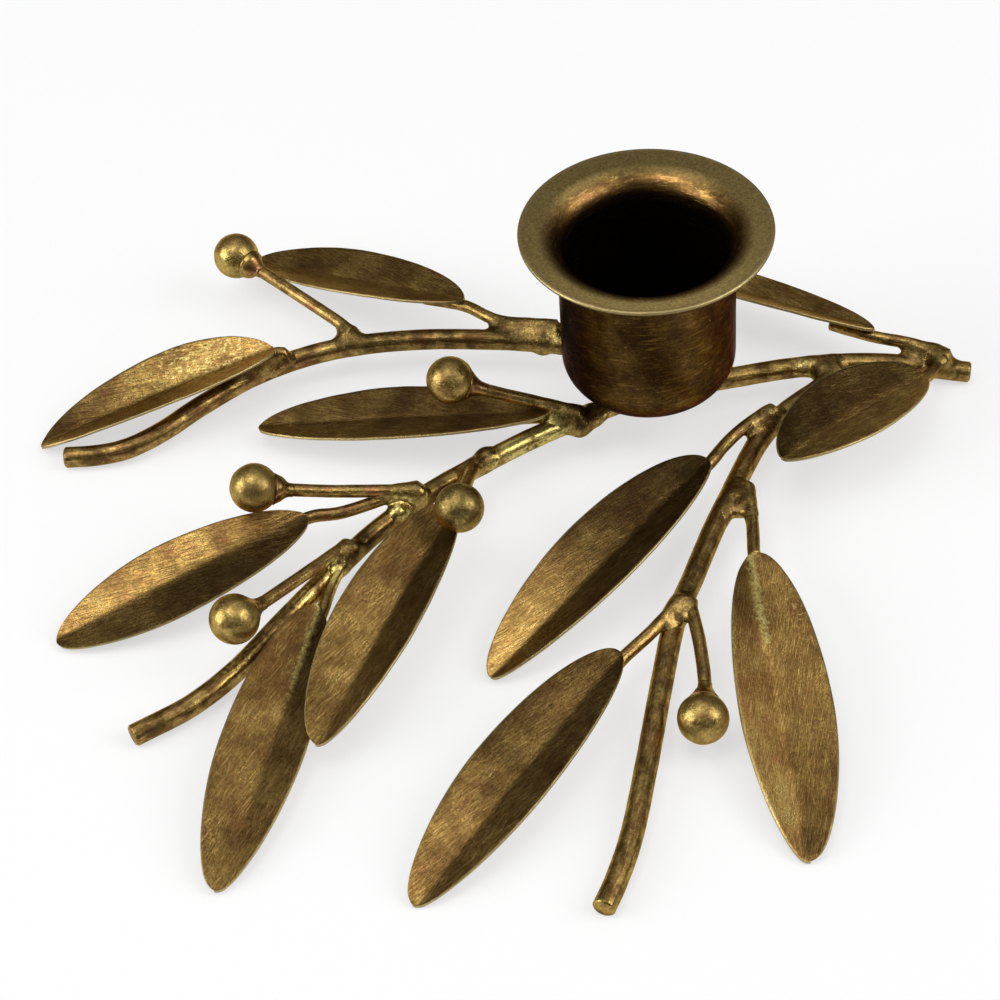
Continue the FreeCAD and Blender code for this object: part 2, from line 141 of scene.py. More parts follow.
# Leaves as in the solids: the base, the turns heading, droop and roll in degrees, the length and
# width as folded, the slope of each half in degrees, the arch and the fold's offset to the left.
# far and near are the lightness of the right and left half, at the base, middle and tip: partly
# the patina, partly painted light and shade, each half lighter or darker by how the light falls
# on it, with a painted highlight at some tips.
# A spot is its share of the length, its share of the half width, its radius, its mark and its
# strength; a tone spot that lightens is partly a painted highlight, one that darkens partly painted
# shade. rib is the height of the ridge that the wire pushes up through the sheet.
leaves = {
    "leaf_left_back": dict(
        base=(-25.5, 17.7, 8), heading=149, droop=9, roll=1.8, length=37, width=10.3,
        fold=18.3, arch=0.12, vein=-0.1, widest_share=0.52,
        far=(0.36, 0.45, 0.42), near=(1.4, 1.7, 1.9),
        spots=[(0.5, 0, 12, "stain", 0.3)]),
    "leaf_left_end": dict(
        base=(-52.7, 9.8, 7.8), heading=194.6, droop=11.3, roll=2.3, length=36.4, width=12.3,
        fold=27, arch=0.3, vein=-0.9, widest_share=0.4,
        far=(1.9, 1, 0.28), near=(2.2, 0.7, 1.7),
        spots=[(0.3, 0, 13, "fresh", 0.42)]),
    "leaf_middle_back": dict(
        base=(-14.8, -7.7, 8), heading=170, droop=7.5, roll=-1.8, length=42.1, width=10.6,
        fold=17.9, arch=0.12, vein=-0.5,
        far=(0.5, 0.26, 0.45), near=(0.95, 0.85, 1),
        spots=[(0.4, 0, 14, "stain", 0.3)]),
    "leaf_middle_left": dict(
        base=(-48.4, -24.8, 8), heading=201, droop=10.9, roll=-15.6, length=37.6, width=11.3,
        fold=10.4, arch=0.6, vein=-0.6,
        far=(1.4, 1.5, 1.5), near=(0.22, 0.17, 0.32), rib=0.35, rib_length=13, rib_fresh=0,
        spots=[(0.08, -0.15, 5, "stain", 0.7), (0.28, 0.3, 6, "tone", -0.25),
               (0.72, -0.45, 7, "tone", 0.25)]),
    "leaf_middle_right": dict(
        base=(-29.1, -23.9, 7.6), heading=243.7, droop=4, roll=1.1, length=43, width=11.4,
        fold=23, arch=0.9, vein=0.6,
        far=(1.1, 1.05, 0.55), near=(0.4, 0.35, 0.75),
        spots=[(0.06, -0.35, 4, "stain", 0.6), (0.28, -0.3, 6, "stain", 0.5),
               (0.3, -0.3, 6, "tone", -0.22)]),
    "leaf_middle_end": dict(
        base=(-47.7, -38.4, 5), heading=252.9, droop=5, roll=-5.9, length=45.6, width=11.1,
        fold=14, arch=0.9, vein=0.8,
        far=(1.3, 1, 0.55), near=(0.26, 0.42, 0.7), rib=0.45, rib_length=20, rib_fresh=0.75,
        spots=[(0.16, -0.3, 6, "stain", 0.6), (0.14, -0.05, 5, "tone", -0.2),
               (0.75, -0.4, 6, "stain", 0.35)]),
    "leaf_front_left": dict(
        base=(6.3, -19, 8), heading=224.4, droop=8.8, roll=-0.9, length=44.8, width=11.4,
        fold=27.5, arch=0.3, vein=0.1, widest_share=0.49,
        far=(0.09, 0.33, 1.5), near=(0.4, 0.35, 0.45),
        spots=[(0.26, -0.35, 7, "stain", 0.6), (0.6, -0.5, 6, "stain", 0.4),
               (0.9, -0.1, 3.5, "tone", 0.35)]),
    "leaf_front_right": dict(
        base=(11, -36.2, 6.6), heading=271.8, droop=6.9, roll=-5, length=48.1, width=12.1,
        fold=18.8, arch=0.2, vein=-0.8, wire_side=0,
        far=(0.9, 2.3, 2.6), near=(1.5, 1.3, 0.66), rib=0.45, rib_length=20, rib_fresh=0.75,
        spots=[(0.18, -0.5, 4, "tone", -0.3), (0.3, -0.45, 5, "stain", 0.6),
               (0.64, -0.9, 3, "stain", 0.6), (0.94, 0.1, 3.5, "stain", 0.6),
               (0.95, -0.1, 3, "tone", -0.35), (0.2, 0.7, 4, "fresh", 0.3)]),
    "leaf_front_end": dict(
        base=(-8.4, -51.9, 6.6), heading=230.3, droop=7.5, roll=-6.1, length=44.7, width=10.7,
        fold=19.3, arch=1.1, vein=0.6,
        far=(0.46, 0.36, 1.15), near=(0.3, 0.32, 0.5),
        spots=[(0.26, -0.25, 6, "stain", 0.5), (0.66, -0.2, 6, "stain", 0.3)]),
    "leaf_right_front": dict(
        base=(38.3, -3.2, 6.2), heading=219.7, droop=-7, roll=-4.9, length=29.1, width=12.2,
        fold=21.9, arch=0.2, vein=0.2,
        far=(0.32, 0.28, 0.1), near=(1.35, 1.6, 1),
        spots=[(0.5, 0, 10, "stain", 0.5), (0.2, 0.15, 2.5, "tone", 0.4)]),
    "leaf_right_back": dict(
        base=(32.9, 6.6, 6.2), heading=148, droop=3, roll=15, length=44.8, width=8.7, fold=20,
        arch=0.12, vein=-0.3, far=(0.6, 0.8, 1), near=(2.3, 2.4, 2.2)),
}

# The centre line of each leaf's wire, from the leaf's base to the stem
leaf_wire_routes = {
    "leaf_left_back": [(-20.4, 13.3, 7.1), (-12.5, 11.3, 7.2)],
    "leaf_left_end": [(-51.4, 10.4, 5.1)],
    "leaf_middle_back": [(-10.4, -7.6, 6.6)],
    "leaf_middle_left": [(-43.5, -23, 6.7), (-35.9, -20, 6.6), (-33.6, -18.9, 6.3)],
    "leaf_middle_right": [(-26.7, -17, 6.2)],
    "leaf_middle_end": [(-45.6, -33.8, 4), (-43.3, -28.9, 4.5)],
    "leaf_front_left": [(8.7, -16, 6.8), (11.1, -13.3, 6.9), (13.8, -10.9, 6.9),
                        (16.3, -9.1, 6.6)],
    "leaf_front_right": [(11.2, -31.4, 5.6), (11.4, -27.4, 5.9), (11.4, -23.4, 6.1)],
    "leaf_front_end": [(-4.5, -49, 5.8), (-1.5, -45.8, 6.2), (0.4, -43.6, 6.4)],
    "leaf_right_front": [(41.4, 0.6, 4)],
    "leaf_right_back": [(38, 4.7, 4.6), (42.6, 2.4, 4)],
}

# The centre line of each berry's wire, from the middle of the ball to the stem
berry_routes = {
    "berry_left": [(-58.7, 31.2, 8), (-53, 25.7, 7.4), (-44.3, 16.6, 6.8), (-42.3, 14.4, 6.3)],
    "berry_middle_back": [(-28, -5, 13), (-23.2, -5.7, 11.3), (-17.4, -6.3, 9.4),
                          (-12.4, -7, 7.9), (-10.9, -7.4, 7.3)],
    "berry_middle_left": [(-55.2, -23, 12.5), (-51, -22.6, 11.3), (-43.9, -21.6, 9.3),
                          (-36.5, -20.4, 7.5), (-33.9, -19.8, 6.8)],
    "berry_middle_right": [(-27.8, -29.4, 12.2), (-27.2, -24.6, 10.3), (-25.8, -16.6, 6.9)],
    "berry_middle_end": [(-57.9, -44.6, 10), (-54.6, -41.2, 8.9), (-44.8, -29.9, 6),
                         (-43.4, -28.2, 5.6)],
    "berry_front": [(1.3, -63.3, 5.2), (2, -58.6, 5.8), (2.1, -53.9, 6.2), (1.9, -49.4, 6.5),
                    (1.4, -44.6, 6.6)],
}

# A ball speckled with bare brass, and the height of the bead on three of the collars
speckled_berries = ("berry_middle_right",)
collar_beads = {"berry_left": 0.55, "berry_middle_left": 0.35, "berry_front": 0.15}

# Brazed joints: drops of solder (x, y, z, radius), how far the skin creeps, and how wide the
# fillet is that draws the metal together
joints = {
    "left_stem_solder": [
        dict(drops=[(-42, 13.2, 5.2, 0.8)], creep=3.8, web=2.8),
        dict(drops=[(-20.6, 13.6, 5.8, 0.9), (-16.5, 12, 5.9, 1.1), (-14.6, 9.4, 4.7, 0.8),
                    (-11.8, 10.8, 6.5, 1)], creep=7.4, web=2.2),
        dict(drops=[(-55.5, 9.4, 5.2, 0.7)], creep=4.5, web=1.8),
    ],
    "main_stem_solder": [
        dict(drops=[(-10.4, -7.8, 5.3, 1.75), (-8.4, -6.4, 5.2, 1.3)], creep=5, web=1.8),
        dict(drops=[(-24, -12.6, 5.3, 1.1), (-25.2, -15, 5.6, 0.9)], creep=4, web=2),
        dict(drops=[(-33.2, -20.2, 6.4, 1.1), (-36.2, -22.6, 5.4, 1)], creep=4.2, web=1.4),
        dict(drops=[(-42.4, -28.8, 5, 0.9)], creep=3.8, web=1.5),
    ],
    "front_stem_solder": [
        dict(drops=[(0.7, -43.8, 5, 0.6)], creep=3.8, web=2.3),
        dict(drops=[(10, -27, 5.4, 0.7)], creep=5.2, web=3.1),
        dict(drops=[(15.4, -9.6, 5.5, 0.9)], creep=4.2, web=2.4),
        dict(drops=[(24.5, 0, 4.5, 1)], creep=6, web=3.2),
    ],
    "right_end_solder": [
        dict(drops=[(41.2, 3.3, 3.2, 1.45)], creep=4.6, web=2.6),
    ],
}

# Bare greenish brass, some of it painted highlights, and burnt dark places on the stems: x, y, z,
# radius, strength
fresh_spots = [
    (-19.7, -11.7, 6, 3, 1), (-15, -9, 6, 3.2, 1), (-12.5, 9.4, 6, 1.5, 0.9),
    (-16.9, 12.1, 6.2, 2, 0.5), (15.4, -8.7, 6, 2.4, 1), (1.2, -44.8, 5.5, 1.6, 0.9),
    (-36, -22.3, 6.5, 1.8, 0.9), (-38.4, -25.2, 6, 1.4, 0.4), (-32.7, -20.4, 7, 1.3, 0.9),
    (-45.1, -32.6, 5, 2.2, 0.9), (-49, -36.5, 4.5, 2.4, 0.7), (10.2, -30.2, 6, 1.3, 0.8),
    (22.1, 0.9, 6, 2, 0.6), (-7.4, -5.7, 6, 1.8, 0.9), (-22.7, -14.9, 5.5, 1.6, 0.7),
    (-42, 12, 4.8, 1.2, 0.6), (-56.5, 9.2, 6.2, 1.6, 0.6), (-58.5, -46, 3.5, 3, 0.5),
]
dark_spots = [
    (-19.9, 11.9, 6.5, 3.4, 0.75), (-12.6, 11, 7, 2, 0.6), (-17.6, 10.6, 6.5, 2, 0.6),
    (-10.4, -8, 6.5, 2, 0.5), (-23.9, -11.8, 6.5, 2, 0.75), (-33, -19.2, 7, 1.8, 0.7),
    (-41, -27.6, 5.5, 3.2, 0.75), (-30.5, -18, 5.5, 2.6, 0.6), (41.4, 3.3, 3.6, 3.6, 0.45),
    (-38, 12.6, 6, 5, 0.5), (-28, 12.6, 6, 7, 0.45), (4, -36, 5.5, 1.8, 0.5),
    (1.6, -41.4, 6, 1, 0.8), (40.6, 2.7, 4.5, 3, 0.3), (17, -11.5, 6, 1.6, 0.6),
]


# Small geometry helpers

def unit(v):
    return v / norm(v, axis=-1, keepdims=True)


def rise(value, start, run):
    """0 up to start, then evenly up to 1 over the run."""
    return np.clip((value - start) / run, 0, 1)


def bell(away, width):
    """1 where away is nothing, falling off softly to both sides."""
    return np.exp(-(away / width) ** 2)


def waves(points, wavelength, seed):
    """Smooth unevenness between about -1 and 1, the same on every run."""
    wave_count = 6
    rng = np.random.default_rng(seed)
    total = np.zeros(len(points))
    for _ in range(wave_count):
        direction = unit(rng.normal(size=3))
        phase = rng.uniform(0, 2 * pi)
        pace = 2 * pi / (wavelength * rng.uniform(0.7, 1.5))
        total += np.sin(points @ direction * pace + phase)
    return 2 * total / wave_count


def dents(points, depth, wavelength, seed):
    """How far each point lies under the smooth form, from 0 to about the depth."""
    return depth * (1 + waves(points, wavelength, seed)) / 2


def spline(route, step):
    """Points along a smooth curve through the route, about a step apart."""
    p = np.array(route, float)
    p = np.vstack([2 * p[0] - p[1], p, 2 * p[-1] - p[-2]])
    points = []
    for a, b, c, d in zip(p, p[1:], p[2:], p[3:]):
        count = max(2, int(round(norm(c - b) / step)))
        t = np.arange(count)[:, None] / count
        points.append(0.5 * (2 * b + (c - a) * t + (2 * a - 5 * b + 4 * c - d) * t ** 2
                             + (3 * b - a - 3 * c + d) * t ** 3))
    return np.vstack(points + [p[-2][None]])


def frames(points):
    """Directions along a curve and two steady directions across it."""
    along = unit(np.gradient(points, axis=0))
    across = [unit(np.cross(along[0], (0.0, 0.0, 1.0)))]
    for direction in along[1:]:
        across.append(unit(across[-1] - direction * (across[-1] @ direction)))
    across = np.array(across)
    return along, across, np.cross(along, across)


def circle(a, b, sides):
    """Points of a unit circle that starts at direction a and turns towards b."""
    turns = np.arange(sides) * 2 * pi / sides
    return np.cos(turns)[:, None] * a + np.sin(turns)[:, None] * b


def grid_faces(rows, columns, closed):
    """Quads between the rows of a grid, closed into a tube or open."""
    faces = []
    last = columns if closed else columns - 1
    for i in range(rows - 1):
        for j in range(last):
            k = (j + 1) % columns
            faces.append((i * columns + j, i * columns + k,
                          (i + 1) * columns + k, (i + 1) * columns + j))
    return faces


def tube_faces(rings, sides):
    """Quads between the rings of a tube, and a flat face at each end."""
    faces = grid_faces(rings, sides, True)
    faces.append(tuple(range(sides))[::-1])
    faces.append(tuple((rings - 1) * sides + j for j in range(sides)))
    return faces


def joined(meshes):
    """One mesh from several, each a pair of points and faces."""
    all_points = []
    all_faces = []
    base = 0
    for points, faces in meshes:
        all_points.append(points)
        all_faces += [tuple(i + base for i in face) for face in faces]
        base += len(points)
    return np.vstack(all_points), all_faces


def spots_near(points, spots):
    """How strongly each point lies in a set of soft round spots, 0 to 1."""
    total = np.zeros(len(points))
    for x, y, z, radius, strength in spots:
        away = norm(points - (x, y, z), axis=1)
        total = np.maximum(total, strength * bell(away, radius))
    return total


def default_marks(points):
    """The marks of each point that its brass reads: see antique_brass."""
    none = np.zeros(len(points))
    return {"tone": 1 - spots_near(points, dark_spots), "fresh": spots_near(points, fresh_spots),
            "rim": none, "matte": none, "stain": none}


def add_object(name, data):
    item = bpy.data.objects.new(name, data)
    bpy.context.scene.collection.objects.link(item)
    return item


def add_piece(name, points, faces, material, nodes, uv=None, marks=None):
    """A mesh in the frame of the solids that rides on the part and stands for its nodes."""
    mesh = bpy.data.meshes.new(name)
    mesh.from_pydata(((np.asarray(points) + cup_axis / MM) * MM).tolist(), [], faces)
    mesh.validate()
    if uv is not None:
        layer = mesh.uv_layers.new(name="grain")
        for loop in mesh.loops:
            layer.data[loop.index].uv = uv[loop.vertex_index]
    marks = dict(default_marks(points), **(marks or {}))
    for mark, values in marks.items():
        layer = mesh.attributes.new(mark, "FLOAT", "POINT")
        layer.data.foreach_set("value", np.asarray(values, float))
    mesh.shade_smooth()
    mesh.materials.append(material)
    piece = add_object(name, mesh)
    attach(piece, "root")
    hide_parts(*nodes)


# The brass

class Tree:
    """The nodes of a material or of the world."""

    def __init__(self, owner):
        owner.use_nodes = True
        self.nodes = owner.node_tree.nodes
        self.links = owner.node_tree.links

    def put(self, value, socket):
        """Sets a socket to a constant, or links it to another node's output."""
        if isinstance(value, tuple) and socket.type == "RGBA":
            socket.default_value = (*value, 1.0)
        elif isinstance(value, (int, float, tuple)):
            socket.default_value = value
        else:
            self.links.new(value, socket)

    def add(self, kind, inputs, output, **settings):
        """The named output of a new node."""
        node = self.nodes.new("ShaderNode" + kind)
        for name, value in settings.items():
            setattr(node, name, value)
        for name, value in inputs.items():
            self.put(value, node.inputs[name])
        return node.outputs[output]

    def noise(self, source, scale, detail, rough):
        return self.add("TexNoise", {"Vector": source, "Scale": scale, "Detail": detail,
                                     "Roughness": rough}, "Fac")

    def mapping(self, source, scale, turn=(0, 0, 0)):
        return self.add("Mapping", {"Vector": source, "Scale": scale, "Rotation": turn}, "Vector")

    def ramp(self, source, low, high, least=0.0, most=1.0):
        """least where the source is below low, most where it is above high."""
        return self.add("MapRange", {"Value": source, "From Min": low, "From Max": high,
                                     "To Min": least, "To Max": most}, "Result")

    def calc(self, operation, *values):
        return self.add("Math", dict(enumerate(values)), "Value", operation=operation)

    def mix(self, share, a, b, blend="MIX"):
        """Two colours mixed: sockets 6 and 7 of the node, and its output 2."""
        return self.add("Mix", {"Factor": share, 6: a, 7: b}, 2, data_type="RGBA",
                        blend_type=blend)

    def mark(self, name):
        """What the mesh says at each point, from the marks of add_piece."""
        return self.add("Attribute", {}, "Fac", attribute_name=name)


def patina(tree, place, blotch, dark, middle, copper):
    """Dark and lighter blotches with coppery stains, strewn all over and thick where marked."""
    strewn_strength = 0.7
    strewn = tree.ramp(tree.noise(place, scale=0.32, detail=6, rough=0.7), low=0.49, high=0.64)
    drift = tree.ramp(tree.noise(place, scale=0.7, detail=5, rough=0.65), low=0.30, high=0.62)
    marked = tree.calc("MULTIPLY", drift, tree.mark("stain"))
    stained = tree.calc("MAXIMUM", tree.calc("MULTIPLY", strewn, strewn_strength), marked)
    return tree.mix(stained, tree.mix(blotch, dark, middle), copper)


def scratch_lines(tree, source, turn, pitch, share):
    """Fine lines: noise drawn out one way, of which only the crests are kept."""
    drawn_out = tree.mapping(tree.mapping(source, (1, 1, 1), turn), pitch)
    crest = tree.noise(drawn_out, scale=1.0, detail=2.0, rough=0.6)
    return tree.ramp(crest, low=0.58 - share, high=0.70 - share)


def scratched(tree, source, blotch, colour, height, lines, bright, dark_lines, dark):
    """Bright scratches, strongest where the patina is worn, then dark ones, with relief."""
    least_worn = 0.4
    worn = tree.calc("MULTIPLY_ADD", blotch, 1 - least_worn, least_worn)
    kinds = ((lines, worn, bright, "ADD"), (dark_lines, 1.0, dark, "SUBTRACT"))
    for kind, shown, paint, relief in kinds:
        for turn, pitch, share, strength in kind:
            scratches = scratch_lines(tree, source, turn, pitch, share)
            strong = tree.calc("MULTIPLY", scratches, strength)
            colour = tree.mix(tree.calc("MULTIPLY", strong, shown), colour, paint)
            height = tree.calc(relief, height, scratches)
    return colour, height


def shade(tree, speckle):
    """The grey that darkens or lightens the colour: the mark tone, which holds patina and painted
    light and shade, under a fine speckle.
    """
    fine = tree.ramp(speckle, low=0, high=1, least=0.66, most=1.16)
    tone = tree.calc("MULTIPLY", tree.mark("tone"), fine)
    return tree.add("CombineColor", {"Red": tone, "Green": tone, "Blue": tone}, "Color")


def dull_rim(tree, shader, mottle, grey, metallic, colour, rough):
    """Where marked matte, an olive film covers the brass: duller, rougher and less metallic."""
    matte = tree.mark("matte")
    olive = (0.130, 0.093, 0.032)
    pale_olive = (0.172, 0.128, 0.046)
    less_metallic = -0.40
    rougher = 0.30
    film = tree.mix(1.0, tree.mix(mottle, olive, pale_olive), grey, "MULTIPLY")
    metal = tree.calc("MULTIPLY_ADD", matte, less_metallic, metallic)
    tree.put(metal, shader.inputs["Metallic"])
    return tree.mix(matte, colour, film), tree.calc("MULTIPLY_ADD", matte, rougher, rough)


def antique_brass(name, dark, middle, bright, copper, lines, dark_lines=(), blotch_size=6.0,
                  roughness=(0.26, 0.38), grit=0.5, uv=False, edge_tint=(0.80, 0.66, 0.42),
                  rim_is_matte=False):
    """Brass under a worn dark patina: blotches, speckle, fine scratches, coppery stains.

    lines and dark_lines list the turn, pitch, share and strength of each set of scratches. Marks
    on the mesh steer it: tone darkens or lightens, for patina and also for painted light and shade,
    fresh is bare greenish brass, on a few stem spots painted highlights, stain is copper, rim is a
    cut edge and matte is the film on the cup's rim.
    """
    lightest = (0.72, 0.55, 0.24)
    bare_brass = (0.63, 0.51, 0.165)
    cut_edge = (0.46, 0.38, 0.18)
    metallic = 0.95
    relief = 0.012 * MM
    speckle_size = 0.35
    material = bpy.data.materials.new(name)
    tree = Tree(material)
    shader = tree.nodes["Principled BSDF"]
    place = tree.mapping(tree.add("TexCoord", {}, "Object"), (1 / MM, 1 / MM, 1 / MM))
    source = tree.add("UVMap", {}, "UV", uv_map="grain") if uv else place
    blotch = tree.ramp(tree.noise(place, scale=1 / blotch_size, detail=5, rough=0.62),
                       low=0.40, high=0.60)
    speckle = tree.ramp(tree.noise(place, scale=1 / speckle_size, detail=3, rough=0.6),
                        low=0.34, high=0.66)
    mottle = tree.ramp(tree.noise(place, scale=1.4, detail=5, rough=0.7), low=0.30, high=0.70)
    grey = shade(tree, speckle)

    colour = patina(tree, place, blotch, dark, middle, copper)
    colour, height = scratched(tree, source, blotch, colour, tree.calc("MULTIPLY", speckle, grit),
                               lines, bright, dark_lines, dark)
    bare = tree.ramp(tree.calc("ADD", tree.mark("fresh"), mottle), low=0.85, high=1.25)
    colour = tree.mix(bare, colour, bare_brass)
    colour = tree.mix(1.0, colour, grey, "MULTIPLY")
    colour = tree.mix(1.0, colour, lightest, "DARKEN")
    colour = tree.mix(tree.mark("rim"), colour, cut_edge)
    smooth, patina_rough = roughness
    rough = tree.ramp(tree.calc("MAXIMUM", blotch, bare), 0, 1, least=patina_rough, most=smooth)

    shader.inputs["Metallic"].default_value = metallic
    if rim_is_matte:
        colour, rough = dull_rim(tree, shader, mottle, grey, metallic, colour, rough)
    tree.put(edge_tint, shader.inputs["Specular Tint"])
    tree.put(colour, shader.inputs["Base Color"])
    tree.put(rough, shader.inputs["Roughness"])
    bump = tree.add("Bump", {"Strength": 1.0, "Distance": relief, "Height": height}, "Normal")
    tree.put(bump, shader.inputs["Normal"])
    return material


def leaf_brass():
    return antique_brass(
        "leaf_brass", dark=(0.150, 0.080, 0.024), middle=(0.355, 0.215, 0.056),
        bright=(0.68, 0.46, 0.15), copper=(0.215, 0.086, 0.034),
        lines=[((0, 0, 0.30), (0.27, 8.5, 1), 0.05, 0.85),
               ((0, 0, -0.08), (0.20, 10.0, 1), 0.03, 0.80),
               ((0, 0, 0.75), (0.5, 9.0, 1), 0.0, 0.45)],
        dark_lines=[((0, 0, 0.20), (0.25, 9.0, 1), 0.06, 0.90),
                    ((0, 0, -0.45), (0.6, 9.0, 1), 0.0, 0.6)],
        uv=True, grit=0.2)


def rod_brass():
    return antique_brass(
        "rod_brass", dark=(0.115, 0.066, 0.022), middle=(0.40, 0.26, 0.075),
        bright=(0.62, 0.45, 0.15), copper=(0.22, 0.095, 0.038),
        lines=[((0, 0, 0.02), (0.35, 4.0, 1), 0.05, 0.6)], blotch_size=2.6, uv=True,
        roughness=(0.22, 0.38), grit=0.25)


def wire_brass():
    return antique_brass(
        "wire_brass", dark=(0.15, 0.088, 0.030), middle=(0.42, 0.275, 0.080),
        bright=(0.62, 0.45, 0.15), copper=(0.36, 0.16, 0.07),
        lines=[((0, 0, 0.02), (0.5, 4.0, 1), 0.05, 0.5)], blotch_size=2.2, uv=True,
        roughness=(0.20, 0.34), grit=0.3)


def berry_brass():
    return antique_brass(
        "berry_brass", dark=(0.26, 0.175, 0.054), middle=(0.49, 0.345, 0.100),
        bright=(0.62, 0.47, 0.17), copper=(0.24, 0.125, 0.045),
        lines=[((0.4, 0.3, 0.5), (0.6, 6.0, 6.0), 0.03, 0.35)], blotch_size=3.0,
        roughness=(0.24, 0.34), grit=0.8)


def solder_brass():
    return antique_brass(
        "solder_brass", dark=(0.115, 0.070, 0.024), middle=(0.38, 0.255, 0.075),
        bright=(0.60, 0.46, 0.16), copper=(0.22, 0.095, 0.04),
        lines=[((0.4, 0.3, 0.5), (1.2, 3.0, 3.0), 0.04, 0.4)], blotch_size=2.4,
        roughness=(0.22, 0.40))


def cup_brass():
    return antique_brass(
        "cup_brass", dark=(0.055, 0.030, 0.010), middle=(0.130, 0.074, 0.020),
        bright=(0.36, 0.21, 0.062), copper=(0.075, 0.036, 0.015), blotch_size=5.0,
        lines=[((0.14, 0.08, 0), (0.35, 0.35, 3.0), 0.03, 0.45),
               ((-0.10, 0.12, 0), (0.5, 0.5, 5.0), 0.0, 0.35)],
        roughness=(0.28, 0.40), grit=0.3, edge_tint=(0.30, 0.20, 0.10), rim_is_matte=True)


brass = {"leaf": leaf_brass(), "rod": rod_brass(), "wire": wire_brass(), "berry": berry_brass(),
         "solder": solder_brass(), "cup": cup_brass()}


# The stems

def tube(route, bar, seed, rounded_start=True, rounded_end=True):
    """A hand-bent bar: points, faces and (length, turn) of each point."""
    centres = spline(route, bar["step"])
    along, across, up = frames(centres)
    centres[0] += along[0] * end_trim
    centres[-1] -= along[-1] * end_trim
    lengths = np.concatenate([[0], np.cumsum(norm(np.diff(centres, axis=0), axis=1))])
    last = len(centres) - 1
    rounding = bar["rounding"]
    narrowed = 1 - rounding / bar["radius"]
    rings = [(centres[i], i, lengths[i], 1.0) for i in range(len(centres))]
    if rounded_start:
        rings[0] = (centres[0], 0, 0.0, narrowed)
        rings.insert(1, (centres[0] + along[0] * rounding, 0, rounding, 1.0))
    if rounded_end:
        rings[-1] = (centres[-1], last, lengths[-1], narrowed)
        rings.insert(-1, (centres[-1] - along[-1] * rounding, last, lengths[-1] - rounding, 1.0))
    points = []
    uv = []
    for centre, i, length, share in rings:
        ring = circle(up[i], across[i], bar["sides"])
        sunk = dents(centre + ring * bar["radius"], bar["dent"], dent_wavelength, seed)
        points.append(centre + ring * (bar["radius"] * share - sunk)[:, None])
        uv += [(length, turn) for turn in np.arange(bar["sides"]) * 2 * pi / bar["sides"]]
    faces = [face[::-1] for face in tube_faces(len(rings), bar["sides"])]
    return np.vstack(points), faces, uv


def make_stems():
    for seed, (name, route) in enumerate(stems.items()):
        points, faces, uv = tube(route, rod, seed, rounded_end=name == "main_stem")
        add_piece(name + "_bar", points, faces, brass["rod"], [name], uv)


# The leaves

def leaf_axes(leaf):
    heading, droop, roll = (radians(leaf[k]) for k in ("heading", "droop", "roll"))
    along = np.array([cos(heading) * cos(droop), sin(heading) * cos(droop), -sin(droop)])
    left = np.array([-sin(heading), cos(heading), 0.0])
    up = np.cross(along, left)
    return np.array([along, left * cos(roll) + up * sin(roll), up * cos(roll) - left * sin(roll)])


def leaf_point(leaf, x, y, z):
    """From the leaf's own frame to the frame of the cup and the table."""
    return np.array(leaf["base"]) + np.column_stack([x, y, z]) @ leaf_axes(leaf)


def bow(leaf, x):
    share = x / leaf["length"]
    return 4 * leaf["arch"] * share * (1 - share)


def half_width(leaf, x):
    """Half the leaf's width at each distance from its base."""
    length = leaf["length"]
    half = leaf["width"] / 2
    widest = leaf.get("widest_share", usual_widest) * length
    rest = length - widest
    t = np.linspace(0, 1, 200)

    def curve(a, b, c, d):
        return (a * (1 - t) ** 3 + 3 * b * (1 - t) ** 2 * t + 3 * c * (1 - t) * t ** 2 + d * t ** 3)

    xs = np.concatenate([curve(0, 0, widest * (1 - base_flow), widest),
                         curve(widest, widest + tip_flow * rest, length, length)])
    ys = np.concatenate([curve(0, base_bluntness * half, half, half),
                         curve(half, half, tip_bluntness * half, 0)])
    return np.interp(x, xs, ys)


def leaf_grid(leaf):
    """Each point's x, y, y from the fold, and place from the right edge (-1) to the left (1)."""
    length = leaf["length"]
    share_along = (1 - np.cos(pi * np.linspace(0, 1, leaf_rows))) / 2
    half = np.maximum(half_width(leaf, length * share_along) - leaf_trim, least_half_width)
    t = np.linspace(-1, 1, leaf_columns)
    x = np.repeat(leaf_trim + (length - 2 * leaf_trim) * share_along, leaf_columns)
    half = np.repeat(half, leaf_columns)
    place = np.tile(np.sign(t) * np.abs(t) ** column_crowding, leaf_rows)
    farthest = 0.7 * half
    fold = np.clip(leaf["vein"], -farthest, farthest)
    y = np.where(place < 0, fold + (fold + half) * place, fold + (half - fold) * place)
    return x, y, y - fold, place


def leaf_lift(leaf, x, y, from_fold, seed):
    """The sheet's height over its flat: a fold with a rounded valley, slight waves and the rib."""
    slope = tan(radians(leaf["fold"]))
    valley = valley_radius * sin(radians(leaf["fold"]))
    off = np.abs(from_fold)
    lift = np.where(off < valley, off ** 2 / (2 * valley) * slope, (off - valley / 2) * slope)
    flat = np.column_stack([x, y, np.zeros_like(x)])
    for height, wavelength, own_seed in leaf_waves:
        lift = lift + height * waves(flat, wavelength, seed + own_seed)
    if "rib" in leaf:
        rib = leaf["rib"] * bell(from_fold, rib_half_width)
        lift = lift + rib * rise(leaf["rib_length"] - x, start=0, run=5)
    return lift


def leaf_border():
    """The points round the edge of the sheet, from the base along the right side."""
    numbers = np.arange(leaf_rows * leaf_columns).reshape(leaf_rows, leaf_columns)
    return np.concatenate([numbers[:-1, 0], numbers[-1, :-1], numbers[:0:-1, -1],
                           numbers[0, :0:-1]]).tolist()


